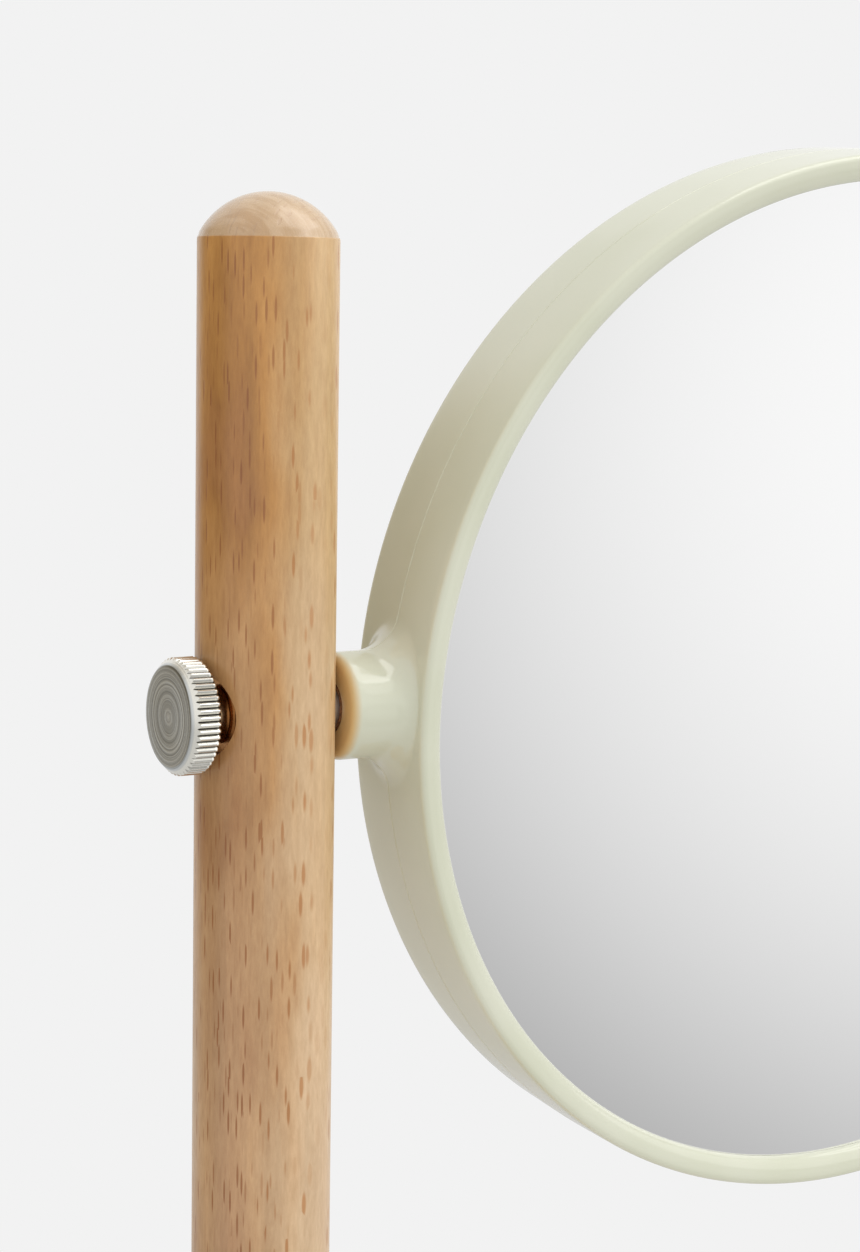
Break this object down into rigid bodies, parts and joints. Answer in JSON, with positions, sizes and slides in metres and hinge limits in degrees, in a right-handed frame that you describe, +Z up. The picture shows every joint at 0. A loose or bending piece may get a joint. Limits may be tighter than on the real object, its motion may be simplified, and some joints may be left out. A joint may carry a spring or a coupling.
{
  "type": "extendable shaving mirror",
  "caption": "Free-standing shaving mirror: round two-sided ring mirror tilting on a wooden post that slides up a tube in a weighted round base.",
  "frame": {"origin": "centre of the flat face under the base, where it stands on the table, on the axis of the tube and post", "axes": "+Z up along the tube and post; +X from the post to the mirror, along the tilt axis; the plane glass faces -Y"},
  "size_m": [0.3135, 0.18, 0.417],
  "materials": {
    "pad": "matt non-slip rubber",
    "steel": "plain turned steel",
    "base_wood": "satin lacquered beech, turned",
    "post_wood": "satin lacquered beech, grain along the post",
    "tube_chrome": "polished chrome plate",
    "nickel": "bright nickel plate over turned brass",
    "nylon": "natural nylon",
    "brass": "turned brass",
    "ring_plastic": "glossy pale celadon-cream moulded plastic",
    "mirror_glass": "silvered glass",
    "foam": "closed-cell foam",
    "fibre": "red-brown vulcanised fibre"
  },
  "bodies": {
    "stand": {"base_pad": "pad", "ballast_plate": "steel", "base_disc": "base_wood", "base_washer": "steel", "base_bolt": "steel", "tube_foot_plug": "steel", "stand_tube": "tube_chrome", "base_collar": "nickel", "tube_top_guide": "nylon"},
    "guide": {"guide_bush": "nylon"},
    "post": {"post": "post_wood", "post_ferrule": "nickel", "pivot_sleeve": "steel"},
    "clamp_pad": {"clamp_pad": "brass"},
    "clamp_screw": {"clamp_screw": "nickel"},
    "tilt_washer": {"tilt_screw_washer": "steel"},
    "tilt_screw": {"tilt_screw": "nickel"},
    "mirror": {"mirror_frame_front": "ring_plastic", "mirror_frame_rear": "ring_plastic", "plane_mirror": "mirror_glass", "magnifying_mirror": "mirror_glass", "spacer_ring": "nylon", "backing_foam": "foam", "thread_insert": "brass", "friction_washer": "fibre"}
  },
  "joints": [
    {"name": "post_slide", "type": "slide", "parent": "stand", "child": "guide", "axis": [0, 0, 1], "range_m": [-0.05, 0.1]},
    {"name": "post_swivel", "type": "hinge", "parent": "guide", "child": "post", "pos_m": [0, 0, 0.09], "axis": [0, 0, 1], "continuous": true},
    {"name": "mirror_tilt", "type": "hinge", "parent": "post", "child": "mirror", "pos_m": [0, 0, 0.317], "axis": [1, 0, 0], "continuous": true},
    {"name": "tilt_screw_travel", "type": "slide", "parent": "post", "child": "tilt_washer", "axis": [-1, 0, 0], "range_m": [0, 0.0016]},
    {"name": "tilt_screw_turn", "type": "hinge", "parent": "tilt_washer", "child": "tilt_screw", "pos_m": [-0.012, 0, 0.317], "axis": [-1, 0, 0], "range_deg": [0, 720]},
    {"name": "clamp_travel", "type": "slide", "parent": "post", "child": "clamp_pad", "axis": [-1, 0, 0], "range_m": [0, 0.0016]},
    {"name": "clamp_screw_turn", "type": "hinge", "parent": "clamp_pad", "child": "clamp_screw", "pos_m": [-0.02, 0, 0.0925], "axis": [-1, 0, 0], "range_deg": [0, 720]}
  ],
  "couplings": [
    {"joint": "tilt_screw_turn", "follows": "tilt_screw_travel", "rad_per_m": 7854},
    {"joint": "clamp_screw_turn", "follows": "clamp_travel", "rad_per_m": 7854}
  ]
}
